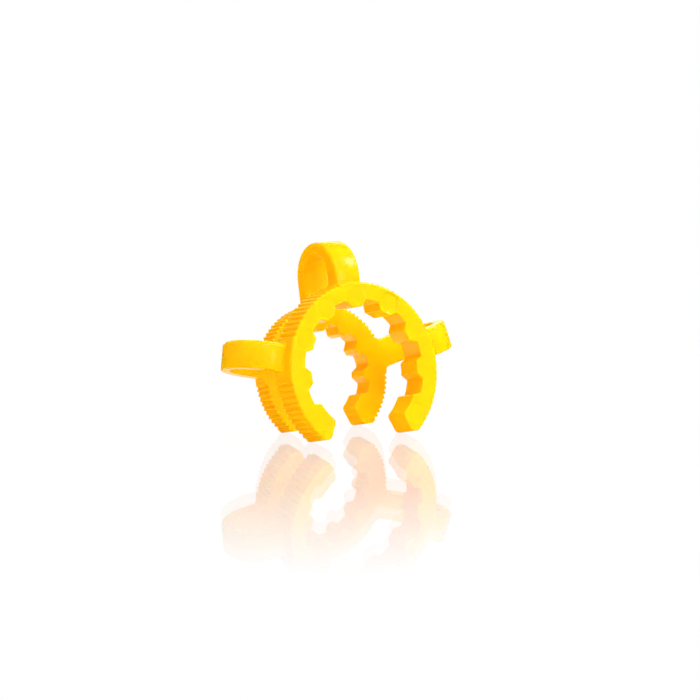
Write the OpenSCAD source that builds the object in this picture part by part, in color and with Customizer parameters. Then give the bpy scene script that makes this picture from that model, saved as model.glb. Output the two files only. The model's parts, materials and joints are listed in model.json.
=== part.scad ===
// Ground glass joint clip, size 14: one moulded piece that holds a cone in its socket.
// The larger front ring grips the socket and the smaller back ring grips the cone's tube.
// Three arched straps join the rings, and the socket's rim sits in the gap between them.
// The clip stands on its four feet. The front ring's feet reach lower, so it leans back.

/* [Front ring: grips the socket] */
// Radius of the socket that the tooth tips touch
socket_r = 9.2; // [8.9:0.05:9.5]
// Radius of the notch floors between the teeth
socket_notch_r = 10.25; // [10.05:0.05:10.5]
// Outer radius at the front face
socket_front_r = 12.82; // [12.7:0.02:12.9]
// Outer radius at the gap
socket_back_r = 12.84; // [12.7:0.02:12.9]
// Thickness along the axis
socket_thick = 4.45; // [4.2:0.05:5]
// Depth of the feet below the axis
socket_foot = 9.7; // [9.4:0.05:9.9]
// Half width of each notch's floor
socket_floor_half = 1.08; // [0.9:0.02:1.2]
// Round of the front face's outer edge, where the ridges fade out
socket_edge_r = 0.35; // [0.2:0.05:0.5]

/* [Back ring: grips the cone's tube] */
// Radius of the tube that the tooth tips touch
tube_r = 6.5; // [6.3:0.05:6.7]
// Radius of the notch floors between the teeth
tube_notch_r = 7.55; // [7.35:0.05:7.8]
// Outer radius at the gap
tube_front_r = 10.66; // [10.6:0.02:10.8]
// Outer radius at the back face
tube_back_r = 10.42; // [10.2:0.02:10.5]
// Thickness along the axis
tube_thick = 3.45; // [3.2:0.05:3.8]
// Depth of the feet below the axis
tube_foot = 7.75; // [7.5:0.05:8]
// Half width of each notch's floor
tube_floor_half = 0.78; // [0.6:0.02:0.9]
// Round of the outer edge at the gap
tube_edge_r = 0.12; // [0.1:0.02:0.3]

/* [Both rings] */
// Gap between the rings, which takes the socket's rim
ring_gap = 5.8; // [5.6:0.1:6.2]
// Angle from one tooth to the next
tooth_pitch = 31; // [30:0.5:31.5]
// How far each side of a notch slopes in, per millimetre outwards
flank_slope = 0.46; // [0.4:0.02:0.55]
// How far each end face runs outwards, per millimetre downwards
end_slope = 0.48; // [0.4:0.02:0.55]
// Angle from the top at which the grip ends
grip_end = 140.5; // [138:0.5:142]
// Round of the grip's end, where the mouth is narrowest
tip_r = 0.8; // [0.6:0.05:0.9]
// Round of a foot's inner corner
heel_r = 0.75; // [0.5:0.05:0.8]
// Round of a foot's outer corner
toe_r = 0.5; // [0.3:0.05:0.6]

/* [Finger ridges] */
// Angle from one ridge to the next
ridge_pitch = 4.13; // [4.05:0.01:4.2]
// Radius of a ridge, as a part of the distance to the next one
ridge_fullness = 0.54; // [0.53:0.01:0.7]

/* [Straps] */
// Width of each strap
strap_w = 4.2; // [3.8:0.1:4.4]
// Angle from the top strap to each side strap
strap_angle = 77; // [76:0.5:78]
// Radius of the outer arch
arch_r = 5.32; // [5.2:0.02:5.4]
// Radius of the inner arch
arch_inner_r = 3.1; // [3:0.02:3.2]
// Distance of the outer arch's centre from the axis
arch_centre = 14.1; // [13.8:0.1:14.4]
// Distance of the inner arch's centre beyond the outer arch's centre
arch_rise = 0.8; // [0.7:0.02:0.9]
// Set-back of the straps from the front ring's outer face
strap_setback = 1.65; // [1.5:0.05:1.8]
// Round of the top strap's left outer edge
top_edge_r = 0.42; // [0.3:0.02:0.6]
// Round of the left strap's upper outer edge
left_edge_r = 0.66; // [0.4:0.02:0.8]
// Round of the right strap's lower outer edge
right_edge_r = 0.26; // [0.2:0.02:0.4]
// Round of each strap's other outer edge
sharp_edge_r = 0.1; // [0.06:0.02:0.2]
// Round between a strap's sides and the rings
strap_fillet = 0.65; // [0.3:0.05:0.7]

/* [Ejector marks] */
// Radius of the round marks on the front face
mark_r = 1.5; // [1.3:0.05:1.6]
// Depth of the marks
mark_depth = 0.05; // [0.04:0.01:0.2]
// Depth of the mark that is sunk deeper than the others
deep_mark_depth = 0.16; // [0.1:0.02:0.3]

/* [Hidden] */
$fn = 96;
margin = 1;
far = 40;
corner_steps = 6;
clip_depth = tube_thick + ring_gap + socket_thick;
socket_z = clip_depth - socket_thick;
strap_z = clip_depth - strap_setback - 2 * arch_r;
// The straps' back legs end flush with the back ring's face at the gap
back_leg = tube_thick - strap_z;
front_leg = 2 * (arch_r - arch_inner_r) - back_leg;
// The clip leans back until both rings' feet touch the ground along their back edges
lean = atan((socket_foot - tube_foot) / socket_z);
ground = tube_foot * cos(lean);
// Reach of the leaning clip to the front, at a foot, and to the back, at the back ring's top
reach_front = -socket_foot * sin(lean) - clip_depth * cos(lean);
reach_back = tube_back_r * sin(lean);
// Each strap's angle, and the rounds of its two outer edges in clockwise order
straps = [
    [0, top_edge_r, sharp_edge_r],
    [strap_angle, sharp_edge_r, right_edge_r],
    [-strap_angle, sharp_edge_r, left_edge_r]
];
// Notches sit midway between the teeth, four on each side
notch_steps = [-3.5, -2.5, -1.5, -0.5, 0.5, 1.5, 2.5, 3.5];
// Ridges in order from the top. The first and last of each run: above and below the side strap
socket_runs = [[3, 16], [23, 34]];
tube_runs = [[4, 16], [23, 34]];
// Marks lie on the teeth, and on the lobes at the ends
mark_centre = 10.85;
lobe_angle = 131;
mark_angles = [0, -tooth_pitch, 2 * tooth_pitch, -2 * tooth_pitch, lobe_angle, -lobe_angle];
deep_mark_angle = tooth_pitch;

// A point at a radius and an angle from the top, clockwise from the front
function polar(r, angle) = [r * sin(angle), r * cos(angle)];

function unit(v) = v / norm(v);

// Angle of a ridge's middle. Each ridge lies between two multiples of the pitch.
function ridge_angle(i) = (i - 0.5) * ridge_pitch;

// Points of an arc that rounds a corner between the points before and after it
function rounded(before, corner, after, r) =
    let (
        u = unit(before - corner),
        v = unit(after - corner),
        half = acos(u * v) / 2,
        centre = corner + unit(u + v) * r / sin(half),
        from = corner + u * r / tan(half) - centre,
        to = corner + v * r / tan(half) - centre,
        turn = atan2(from.x * to.y - from.y * to.x, from * to)
    )
    [
        for (i = [0 : corner_steps])
            let (t = turn * i / corner_steps)
            centre + [from.x * cos(t) - from.y * sin(t), from.x * sin(t) + from.y * cos(t)]
    ];

// Revolved blank of a ring on its back face, with the edge of its front face rounded
module ring_blank(back_r, front_r, thick, edge_r) {
    rotate_extrude() {
        polygon([[0, 0], [back_r, 0], [front_r, thick - edge_r], [front_r - edge_r, thick], [0, thick]]);
        intersection() {
            translate([front_r - edge_r, thick - edge_r]) circle(r = edge_r);
            square([front_r, thick]);
        }
    }
}

// Slice from one angle to another, which reaches beyond every ring
module slice(from, to) {
    polygon([[0, 0], polar(far, from), polar(far, to)]);
}

// Outline of a ring: rounded ridges, and plain stretches beside the straps and above the feet
module ridged_outline(outer_r, runs) {
    ridge_r = ridge_fullness * 2 * outer_r * sin(ridge_pitch / 2);
    circle(r = outer_r - ridge_r);
    for (side = [0, 1])
        mirror([side, 0]) {
            for (run = runs, i = [run[0] : run[1]])
                rotate(-ridge_angle(i))
                    translate([0, outer_r - ridge_r]) circle(r = ridge_r);
            slice(0, ridge_angle(runs[0][0]));
            slice(ridge_angle(runs[0][1]), ridge_angle(runs[1][0]));
            slice(ridge_angle(runs[1][1]), 180);
        }
}

// The bore and its notches. The teeth are what is left between the notches.
module toothed_bore(grip_r, notch_r, floor_half) {
    inner_r = grip_r - margin;
    inner_half = floor_half + flank_slope * (notch_r - inner_r);
    circle(r = grip_r);
    intersection() {
        circle(r = notch_r);
        for (step = notch_steps)
            rotate(-step * tooth_pitch)
                polygon([
                    [-inner_half, inner_r],
                    [-floor_half, notch_r],
                    [-floor_half, notch_r + margin],
                    [floor_half, notch_r + margin],
                    [floor_half, notch_r],
                    [inner_half, inner_r]
                ]);
    }
}

// The mouth between the legs, the flat under both feet and the feet's rounded corners
module mouth(grip_r, outer_r, foot) {
    grip = polar(grip_r, grip_end - tooth_pitch / 2);
    tip = polar(grip_r, grip_end);
    heel = [tip.x + end_slope * (foot + tip.y), -foot];
    toe = [sqrt(outer_r * outer_r - foot * foot), -foot];
    outside = toe + [foot, toe.x];
    side = concat(
        [grip],
        rounded(grip, tip, heel, tip_r),
        rounded(tip, heel, toe, heel_r),
        rounded(heel, toe, outside, toe_r),
        [outside, [outside.x, -far]]
    );
    other_side = [for (i = [len(side) - 1 : -1 : 0]) [-side[i].x, side[i].y]];
    polygon(concat(side, other_side));
}

module ring(back_r, front_r, thick, edge_r, runs) {
    intersection() {
        ring_blank(back_r, front_r, thick, edge_r);
        linear_extrude(thick) ridged_outline(max(back_r, front_r), runs);
    }
}

module ring_opening(grip_r, notch_r, floor_half, outer_r, thick, foot) {
    translate([0, 0, -margin])
        linear_extrude(thick + 2 * margin) {
            toothed_bore(grip_r, notch_r, floor_half);
            mouth(grip_r, outer_r, foot);
        }
}

// Half of a section across an arch's axis: as wide as a strap, with the outer edges rounded
module strap_section(edges) {
    half_w = strap_w / 2;
    for (side = [0, 1])
        mirror([0, side])
            let (edge_r = edges[1 - side]) {
                square([arch_r - edge_r, half_w]);
                square([arch_r, half_w - edge_r]);
                translate([arch_r - edge_r, half_w - edge_r]) circle(r = edge_r);
            }
}

// Side view of the hole through a strap, with the way to the front along X
module strap_hole() {
    translate([back_leg, 0]) square([2 * arch_inner_r, arch_centre + arch_rise]);
    translate([back_leg + arch_inner_r, arch_centre + arch_rise]) circle(r = arch_inner_r);
}

// Round between one side of a strap and a ring of radius r
module strap_fillet_section(r) {
    centre_x = strap_w / 2 + strap_fillet;
    centre = [centre_x, sqrt(pow(r + strap_fillet, 2) - pow(centre_x, 2))];
    touch = unit(centre) * r;
    root = unit(centre) * (r - margin);
    difference() {
        polygon([[0, centre.y], centre, touch, root, [0, root.y]]);
        translate(centre) circle(r = strap_fillet);
    }
}

// Rounds between both sides of a strap and both rings, up to the strap's rounded outer edges
module strap_fillets(edges) {
    for (side = [0, 1])
        mirror([side, 0])
            let (edge_r = edges[1 - side]) {
                translate([0, 0, edge_r])
                    linear_extrude(back_leg - edge_r) strap_fillet_section(tube_front_r);
                translate([0, 0, 2 * arch_r - front_leg])
                    linear_extrude(front_leg - edge_r) strap_fillet_section(socket_front_r);
            }
}

// A strap with its back leg at the bottom and its arch at +Y. The legs reach into the rings.
module strap(edges) {
    difference() {
        translate([0, arch_centre, arch_r]) {
            rotate([0, 90, 0]) rotate_extrude() strap_section(edges);
            rotate([90, 0, 0])
                linear_extrude(arch_centre - tube_r) {
                    rotate(90) mirror([0, 1]) strap_section(edges);
                    rotate(-90) strap_section(edges);
                }
        }
        rotate([0, -90, 0])
            linear_extrude(strap_w + margin, center = true) strap_hole();
    }
}

module ejector_mark(angle, depth) {
    translate([mark_centre * sin(angle), mark_centre * cos(angle), clip_depth - depth])
        cylinder(r = mark_r, h = depth + margin);
}

// The clip on its back: the back ring's outer face is at the bottom, and the top strap is at +Y
module clip_on_its_back() {
    difference() {
        union() {
            ring(tube_back_r, tube_front_r, tube_thick, tube_edge_r, tube_runs);
            translate([0, 0, socket_z])
                ring(socket_back_r, socket_front_r, socket_thick, socket_edge_r, socket_runs);
            for (which = straps)
                rotate(-which[0])
                    translate([0, 0, strap_z]) {
                        strap([which[1], which[2]]);
                        strap_fillets([which[1], which[2]]);
                    }
        }
        ring_opening(tube_r, tube_notch_r, tube_floor_half, tube_front_r, tube_thick, tube_foot);
        translate([0, 0, socket_z])
            ring_opening(
                socket_r, socket_notch_r, socket_floor_half, socket_back_r, socket_thick, socket_foot
            );
        for (angle = mark_angles)
            ejector_mark(angle, mark_depth);
        ejector_mark(deep_mark_angle, deep_mark_depth);
    }
}

module joint_clip() {
    color([1, 0.85, 0])
        translate([0, -(reach_front + reach_back) / 2, ground])
            rotate([90 - lean, 0, 0])
                clip_on_its_back();
}

joint_clip();
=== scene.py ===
import json
import math

import bpy
import numpy as np
import openvdb
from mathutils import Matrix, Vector


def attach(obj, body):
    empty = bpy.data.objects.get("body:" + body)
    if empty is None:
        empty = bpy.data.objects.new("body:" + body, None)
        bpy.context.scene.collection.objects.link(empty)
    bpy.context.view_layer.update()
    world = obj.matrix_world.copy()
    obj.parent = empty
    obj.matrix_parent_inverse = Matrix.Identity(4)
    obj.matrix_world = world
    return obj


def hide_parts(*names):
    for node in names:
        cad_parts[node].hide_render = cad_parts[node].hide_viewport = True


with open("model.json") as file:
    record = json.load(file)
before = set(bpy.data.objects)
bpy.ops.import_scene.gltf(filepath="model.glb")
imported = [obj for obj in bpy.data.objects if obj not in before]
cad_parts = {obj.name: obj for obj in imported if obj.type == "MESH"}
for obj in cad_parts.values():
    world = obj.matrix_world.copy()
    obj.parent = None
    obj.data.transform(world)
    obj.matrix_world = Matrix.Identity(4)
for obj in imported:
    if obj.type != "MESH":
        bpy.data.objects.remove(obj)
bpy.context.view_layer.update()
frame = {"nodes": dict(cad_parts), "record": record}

# ---- The clip ----
# A spring clip that snaps over a ground glass joint from the side: a large and a small toothed
# ring, both open at the bottom, and three arched straps that join them. It is one injection
# moulding in yellow acetal, so it is one piece here too.

# No edge or inside corner of a moulding is quite sharp. The solid is shrunk and grown again,
# which rounds its edges, then grown and shrunk, which fills its corners. The mesh is worked out
# in millimetres.
MILLIMETRES = 1000
GRID_STEP = 0.07
EDGE_ROUND = 0.07
CORNER_ROUND = 0.06
GRID_SPARE = 3


def distance_grid(points, reach, **faces):
    """Distances from a closed surface, out to a reach on both sides."""
    return openvdb.FloatGrid.createLevelSetFromPolygons(
        points,
        transform=openvdb.createLinearTransform(voxelSize=GRID_STEP),
        halfWidth=reach / GRID_STEP + GRID_SPARE,
        **faces,
    )


solid = frame["nodes"]["joint_clip"].data
solid.calc_loop_triangles()
corners = np.empty(len(solid.vertices) * 3, np.float32)
solid.vertices.foreach_get("co", corners)
triangles = np.empty(len(solid.loop_triangles) * 3, np.int32)
solid.loop_triangles.foreach_get("vertices", triangles)
corners = corners.reshape(-1, 3) * MILLIMETRES
triangles = triangles.reshape(-1, 3).astype(np.uint32)
sharp = distance_grid(corners, EDGE_ROUND, triangles=triangles)

# The finger ridges are a smooth wave round each ring. The valleys keep their depth along the back
# ring, and rise to about half of it towards the front ring's face. Places round a ring are counted
# in ridges from its top, on both sides: the ridges stop beside the straps and above the feet.
RIDGE_STEP = math.radians(4.13)
RIDGE_DEPTH = 0.34
FIRST_VALLEY = 0.5
TOP_STRAP_END = 3.5
SIDE_STRAP_END = 22.5
LAST_RIDGE = 32.5
RIDGE_SKIN = 0.4
RIDGE_OVERRUN = 0.3
BLOCK_SPARE = (0.6, 5.4, 1.1)

grips = {mount["name"]: mount for mount in frame["record"]["mounts"]}
forward = np.array(grips["socket_grip"]["axis"])
upward = np.cross(forward, (1, 0, 0))


def cut_ridges(grip, back_r, front_r, edge_r, core_r, rise, side_strap):
    """Sets the distances round one ring, outside its core, to those of its ridged blank.

    The blank is a slightly tapered drum with a rounded front edge. Its ridges run from the top
    strap to side_strap, and on below that strap. The valleys are shallower by rise at the front.
    """
    length = grips[grip]["dims"]["length_mm"]
    centre = np.array(grips[grip]["pos_m"]) * MILLIMETRES
    reach = (np.array((back_r, 0, back_r)) + BLOCK_SPARE) // GRID_STEP
    start = (centre / GRID_STEP - reach).astype(int)
    x, y, z = np.ogrid[[slice(a, a + 2 * int(b) + 1) for a, b in zip(start, reach)]]
    x, y, z = (c.astype(np.float32) * GRID_STEP - m for c, m in zip((x, y, z), centre))
    along = y * forward[1] + z * forward[2] + length / 2
    height = y * upward[1] + z * upward[2]
    radius = np.hypot(x, height)
    turn = np.arctan2(np.abs(x), height) / RIDGE_STEP

    blank_r = back_r + (front_r - back_r) * along / length
    out, front = radius - blank_r + edge_r, along - length + edge_r
    blank = np.hypot(np.maximum(out, 0), np.maximum(front, 0)) - edge_r
    blank = np.maximum(blank + np.minimum(np.maximum(out, front), 0), -along)

    wave = 2 * math.pi * (turn - FIRST_VALLEY)
    valley = RIDGE_DEPTH / 2 * (1 - np.cos(wave)) - rise * np.clip(along / (length - edge_r), 0, 1)
    steepness = math.pi * RIDGE_DEPTH / (RIDGE_STEP * back_r) * np.sin(wave)
    ridge = (radius - blank_r + valley) / np.hypot(1, steepness)

    ridged = (turn > TOP_STRAP_END) & (turn < side_strap)
    ridged |= (turn > SIDE_STRAP_END) & (turn < LAST_RIDGE)
    ridged &= (radius > core_r) & (radius < back_r + RIDGE_SKIN)
    ridged &= (along > -RIDGE_OVERRUN) & (along < length + RIDGE_OVERRUN)
    first = tuple(int(a) for a in start)
    block = np.empty(radius.shape, np.float32)
    sharp.copyToArray(block, ijk=first)
    block[ridged] = np.clip(np.maximum(blank, ridge)[ridged], block.min(), block.max())
    sharp.copyFromArray(block, ijk=first)


cut_ridges(
    "socket_grip", back_r=12.86, front_r=12.82, edge_r=0.35, core_r=12.36, rise=0.16, side_strap=15.5
)
cut_ridges(
    "tube_grip", back_r=10.46, front_r=10.66, edge_r=0.12, core_r=9.9, rise=0.0, side_strap=15.2
)

points, quads = sharp.convertToQuads(isovalue=-EDGE_ROUND)
shrunk = distance_grid(points, EDGE_ROUND + CORNER_ROUND, quads=quads)
points, quads = shrunk.convertToQuads(isovalue=EDGE_ROUND + CORNER_ROUND)
grown = distance_grid(points, CORNER_ROUND, quads=quads)
points, quads = grown.convertToQuads(isovalue=-CORNER_ROUND)

# The fine mesh is thinned out, which leaves small faces only where the surface bends.
MOST_TRIANGLES = 190000
fine_mesh = bpy.data.meshes.new("fine_clip")
fine_mesh.from_pydata(points.tolist(), [], quads[:, ::-1].tolist())
fine_clip = bpy.data.objects.new("fine_clip", fine_mesh)
bpy.context.scene.collection.objects.link(fine_clip)
thinning = fine_clip.modifiers.new("thinning", "DECIMATE")
thinning.ratio = MOST_TRIANGLES / (2 * len(quads))
thinned = fine_clip.evaluated_get(bpy.context.evaluated_depsgraph_get())
clip_mesh = bpy.data.meshes.new_from_object(thinned)
clip_mesh.name = "moulded_clip"
bpy.data.objects.remove(fine_clip)
points = np.empty(len(clip_mesh.vertices) * 3, np.float32)
clip_mesh.vertices.foreach_get("co", points)
points = points.reshape(-1, 3)

# Shading follows the distances themselves, so that flats and rounds meet smoothly.
low, high = grown.evalActiveVoxelBoundingBox()
distances = np.full([high[i] - low[i] + 1 for i in range(3)], CORNER_ROUND, np.float32)
grown.copyToArray(distances, ijk=low)


def distance_at(places):
    """Distance at each place, in grid steps, between the eight grid points round it."""
    cell = np.floor(places).astype(int)
    part = places - cell
    total = np.zeros(len(places))
    for corner in np.ndindex(2, 2, 2):
        share = np.prod(np.where(corner, part, 1 - part), axis=1)
        total += share * distances[tuple((cell + corner).T)]
    return total


places = points / GRID_STEP - np.array(low)
normals = np.stack(
    [distance_at(places + step) - distance_at(places - step) for step in np.eye(3)], axis=1
)
normals /= np.linalg.norm(normals, axis=1, keepdims=True)

# The straps' outer faces are crowned a little from side to side, which the shading gives them.
STRAP_ANGLES = (0, 77, -77)
STRAP_HALF = 2.2
RINGS_REACH = 13.05
CROWN_RADIUS = 9.0
from_grip = points - np.array(grips["socket_grip"]["pos_m"]) * MILLIMETRES
for angle in STRAP_ANGLES:
    cosine, sine = math.cos(math.radians(angle)), math.sin(math.radians(angle))
    outward = np.array((sine, 0, 0)) + cosine * upward
    sideways = np.array((cosine, 0, 0)) - sine * upward
    off_middle = from_grip @ sideways
    crowned = (from_grip @ outward > RINGS_REACH) & (np.abs(off_middle) < STRAP_HALF)
    normals[crowned] += np.outer(off_middle[crowned] / CROWN_RADIUS, sideways)
normals /= np.linalg.norm(normals, axis=1, keepdims=True)

clip_mesh.vertices.foreach_set("co", (points / MILLIMETRES).ravel())
clip_mesh.shade_smooth()
clip_mesh.normals_split_custom_set_from_vertices(normals.tolist())
clip = bpy.data.objects.new("moulded_clip", clip_mesh)
bpy.context.scene.collection.objects.link(clip)


class Wire:
    """One output of a material's nodes. A sum or product of wires adds its Math node."""

    def __init__(self, tree, socket=None):
        self.tree = tree
        self.socket = socket

    def node(self, kind, settings, sockets, output=0):
        """Adds a node, sets it up and fills its sockets with values or wires."""
        made = self.tree.nodes.new(kind)
        for name, value in settings.items():
            setattr(made, name, value)
        for name, value in sockets.items():
            if isinstance(value, Wire):
                self.tree.links.new(value.socket, made.inputs[name])
            else:
                made.inputs[name].default_value = value
        return Wire(self.tree, made.outputs[output] if made.outputs else None)

    def math(self, operation, first, second):
        return self.node("ShaderNodeMath", {"operation": operation}, {0: first, 1: second})

    def __add__(self, other):
        return self.math("ADD", self, other)

    def __sub__(self, other):
        return self.math("SUBTRACT", self, other)

    def __rsub__(self, other):
        return self.math("SUBTRACT", other, self)

    def __mul__(self, other):
        return self.math("MULTIPLY", self, other)

    __radd__ = __add__
    __rmul__ = __mul__


# Acetal is coloured right through: light enters it a little way and comes out a deeper yellow.
# The mould's fine grain dulls the gloss, and the flow of the melt streaks the colour a little.
# Lengths in a material are in metres.
FLOW_SCALE = 140
GRAIN_SCALE = 3500
GRAIN_HEIGHT = 0.000002
DEEP_YELLOW = (0.98, 0.53, 0.001, 1)
CLEAR_YELLOW = (0.98, 0.57, 0.002, 1)
plastic = bpy.data.materials.new("yellow_acetal")
plastic.use_nodes = True
plastic.node_tree.nodes.clear()
resin = Wire(plastic.node_tree)
place = resin.node("ShaderNodeTexCoord", {}, {}, "Object")
flow = resin.node(
    "ShaderNodeTexNoise", {}, {"Vector": place, "Scale": FLOW_SCALE, "Detail": 3, "Distortion": 1.2}
)
grain = resin.node("ShaderNodeTexNoise", {}, {"Vector": place, "Scale": GRAIN_SCALE, "Detail": 2})
tint = resin.node(
    "ShaderNodeMix", {"data_type": "RGBA"}, {0: flow, 6: DEEP_YELLOW, 7: CLEAR_YELLOW}, 2
)
relief = resin.node(
    "ShaderNodeBump", {}, {"Height": grain, "Distance": GRAIN_HEIGHT, "Strength": 0.4}
)
surface = resin.node(
    "ShaderNodeBsdfPrincipled",
    {"subsurface_method": "RANDOM_WALK"},
    {
        "Base Color": tint,
        "Roughness": 0.2 + 0.04 * grain,
        "Normal": relief,
        "IOR": 1.35,
        "Subsurface Weight": 1.0,
        "Subsurface Radius": (1.0, 0.08, 0.02),
        "Subsurface Scale": 0.004,
    },
)
resin.node("ShaderNodeOutputMaterial", {}, {"Surface": surface})
clip_mesh.materials.append(plastic)

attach(clip, "root")
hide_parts("joint_clip")

# ---- The floor ----
# A sheet of clear acrylic lies on a white one, which is lit from below, so that only a trace of
# the clip's shadow is left. Each mirrors the clip faintly, the lower one more, and less and less
# with the distance from it.
FLOOR_SIZE = 6.0
SHEET_DEPTH = 0.0009
UPPER_MIRROR = 0.14
LOWER_MIRROR = 0.38
MIRROR_NEAR = 0.043
MIRROR_FAR = 0.11
MIRROR_TINT = (0.833, 0.833, 0.833, 1)


def floor_sheet(name, height):
    """A flat sheet with an empty material."""
    bpy.ops.mesh.primitive_grid_add(size=FLOOR_SIZE, location=(0, 0, height))
    sheet = bpy.context.object
    sheet.name = name
    material = bpy.data.materials.new(name)
    material.use_nodes = True
    material.node_tree.nodes.clear()
    sheet.data.materials.append(material)
    return Wire(material.node_tree)


def ray_is(wires, kind):
    """1 for a ray of one kind, such as Camera, and 0 for any other."""
    return wires.node("ShaderNodeLightPath", {}, {}, f"Is {kind} Ray")


def distance_along(wires, place, way):
    """How far each place lies one way."""
    return wires.node("ShaderNodeVectorMath", {"operation": "DOT_PRODUCT"}, {0: place, 1: way}, "Value")


def ramp(wires, value, start, end, first, last):
    """Goes evenly from the first to the last level as the value goes from start to end."""
    return wires.node("ShaderNodeMapRange", {}, {0: value, 1: start, 2: end, 3: first, 4: last})


def faint_mirror(sheet, most, under):
    """What lies under, mirrored over by so much near the clip, and by nothing far from it."""
    place = sheet.node("ShaderNodeNewGeometry", {}, {}, "Position")
    distance = sheet.node("ShaderNodeVectorMath", {"operation": "LENGTH"}, {0: place}, "Value")
    share = ramp(sheet, distance, MIRROR_NEAR, MIRROR_FAR, most, 0.0) * ray_is(sheet, "Camera")
    mirror = sheet.node("ShaderNodeBsdfGlossy", {}, {"Color": MIRROR_TINT, "Roughness": 0.0})
    both = sheet.node("ShaderNodeMixShader", {}, {0: share, 1: under, 2: mirror})
    sheet.node("ShaderNodeOutputMaterial", {}, {"Surface": both})


ground = float(points[:, 2].min()) / MILLIMETRES
acrylic = floor_sheet("acrylic_face", ground)
faint_mirror(acrylic, UPPER_MIRROR, acrylic.node("ShaderNodeBsdfTransparent", {}, {}))

# The clip's own gloss shows the white sheet only as a lit patch behind it, at the back right. The
# patch is a wedge: its sides are set by the bearing from its corner, and its front by a distance.
FLOOR_WHITE = (0.75, 0.75, 0.75, 1)
SHADOW_SHARE = 0.06
SHADOW_NEAR = 0.04
SHADOW_FAR = 0.12
BACK_RIGHT = (0.55, 0.83, 0.0)
PATCH_CORNER = (0.028, 0.042, 0.0)
PATCH_SIDES = (0.935, 0.965)
PATCH_FRONT = (0.0085, 0.0145)
white_sheet = floor_sheet("white_sheet", ground - SHEET_DEPTH)
place = white_sheet.node("ShaderNodeNewGeometry", {}, {}, "Position")
distance = white_sheet.node("ShaderNodeVectorMath", {"operation": "LENGTH"}, {0: place}, "Value")
from_corner = white_sheet.node(
    "ShaderNodeVectorMath", {"operation": "ADD"}, {0: place, 1: PATCH_CORNER}
)
bearing = white_sheet.node("ShaderNodeVectorMath", {"operation": "NORMALIZE"}, {0: from_corner})
within_sides = distance_along(white_sheet, bearing, BACK_RIGHT)
past_front = distance_along(white_sheet, place, BACK_RIGHT)
patch = ramp(white_sheet, within_sides, *PATCH_SIDES, 0.0, 1.0) * ramp(
    white_sheet, past_front, *PATCH_FRONT, 0.0, 1.0
)
glow = white_sheet.node(
    "ShaderNodeEmission",
    {},
    {"Color": (1, 1, 1, 1), "Strength": 1 - (1 - patch) * ray_is(white_sheet, "Glossy")},
)
matt = white_sheet.node("ShaderNodeBsdfDiffuse", {}, {"Color": FLOOR_WHITE})
shadow = ramp(white_sheet, distance, SHADOW_NEAR, SHADOW_FAR, SHADOW_SHARE, 0.0)
shaded = white_sheet.node("ShaderNodeMixShader", {}, {0: shadow, 1: glow, 2: matt})
seen = (
    ray_is(white_sheet, "Camera") + ray_is(white_sheet, "Glossy") + ray_is(white_sheet, "Transmission")
)
white = white_sheet.node("ShaderNodeMixShader", {}, {0: seen, 1: matt, 2: shaded})
faint_mirror(white_sheet, LOWER_MIRROR, white)

# ---- The light ----
# A plain white studio. The surround is white to the camera and in the floor. The clip's gloss
# finds it bright only at the back right, and dark elsewhere, as if black cards stood there.
WORLD_LEVEL = 0.7
FRONT_GLOSS = 0.015
BACK_GLOSS = 1.2
BRIGHT_FROM = 0.87
BRIGHT_FULL = 0.95
studio = bpy.data.worlds.new("studio")
bpy.context.scene.world = studio
studio.use_nodes = True
studio.node_tree.nodes.clear()
air = Wire(studio.node_tree)
way = air.node("ShaderNodeTexCoord", {}, {}, "Generated")
backward = distance_along(air, way, BACK_RIGHT)
clip_gloss = air.node(
    "ShaderNodeMapRange",
    {"interpolation_type": "SMOOTHSTEP"},
    {0: backward, 1: BRIGHT_FROM, 2: BRIGHT_FULL, 3: FRONT_GLOSS, 4: BACK_GLOSS},
)
floor_mirrors = ray_is(air, "Singular")
gloss = floor_mirrors * BACK_GLOSS + (1 - floor_mirrors) * clip_gloss
camera_sees = ray_is(air, "Camera")
gloss_sees = ray_is(air, "Glossy") + ray_is(air, "Transmission")
level = camera_sees + gloss_sees * gloss + (1 - camera_sees - gloss_sees) * WORLD_LEVEL
sky = air.node("ShaderNodeBackground", {}, {"Color": (1, 1, 1, 1), "Strength": level})
air.node("ShaderNodeOutputWorld", {}, {"Surface": sky})

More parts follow.
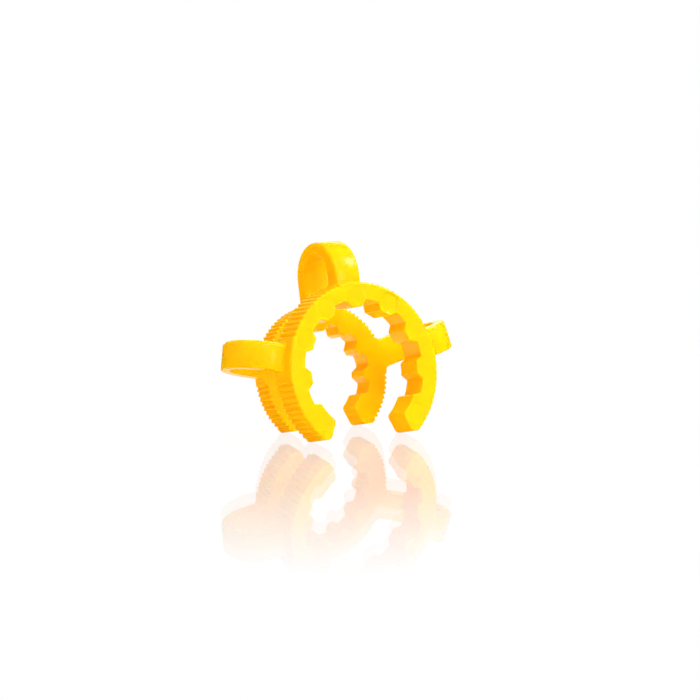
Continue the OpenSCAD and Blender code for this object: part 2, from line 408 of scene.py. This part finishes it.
LAMP_AIM = Vector((0, 0, 0.013))
LAMP_AWAY = 0.6


def soft_lamp(name, side, height, size, watts, shines):
    """A round lamp, so many degrees to the right of the front and above the ground."""
    side, height = math.radians(side), math.radians(height)
    out = Vector(
        (math.sin(side) * math.cos(height), -math.cos(side) * math.cos(height), math.sin(height))
    )
    light = bpy.data.lights.new(name, "AREA")
    light.shape = "DISK"
    light.size = size
    light.energy = watts
    lamp = bpy.data.objects.new(name, light)
    bpy.context.scene.collection.objects.link(lamp)
    lamp.location = LAMP_AIM + out * LAMP_AWAY
    lamp.rotation_euler = out.to_track_quat("Z", "Y").to_euler()
    lamp.visible_glossy = shines


# Three small lamps give the gloss its spots, and four large ones only fill the light.
soft_lamp("key_lamp", 64, 40, 0.18, 1.0, shines=True)
soft_lamp("front_lamp", 0, 45, 0.1, 0.35, shines=True)
soft_lamp("low_lamp", 15, 14, 0.12, 0.16, shines=True)
soft_lamp("right_lamp", 25, 40, 0.3, 0.85, shines=False)
soft_lamp("high_lamp", 0, 60, 0.3, 0.95, shines=False)
soft_lamp("overhead_lamp", 0, 85, 0.3, 0.6, shines=False)
soft_lamp("back_lamp", 140, 18, 0.3, 3.8, shines=False)

# ---- The camera ----
# A long lens nearly a metre away, a little above the clip and well round to its left. The clip
# takes up the middle third of its view.
LENS = 316.9
SENSOR = 36.0
AIM = Vector((-0.00158, -0.00522, 0.01317))
AWAY = 0.9
LEFT = math.radians(33.706)
UP = math.radians(8.390)
camera_data = bpy.data.cameras.new("camera")
camera_data.lens = LENS
camera_data.sensor_width = SENSOR
camera_data.clip_start = 0.05
camera_data.clip_end = 20
camera = bpy.data.objects.new("camera", camera_data)
bpy.context.scene.collection.objects.link(camera)
bpy.context.scene.camera = camera
out = Vector((-math.sin(LEFT) * math.cos(UP), -math.cos(LEFT) * math.cos(UP), math.sin(UP)))
camera.location = AIM + out * AWAY
camera.rotation_mode = "QUATERNION"
camera.rotation_quaternion = out.to_track_quat("Z", "Y")

bpy.context.scene.view_settings.view_transform = "Standard"
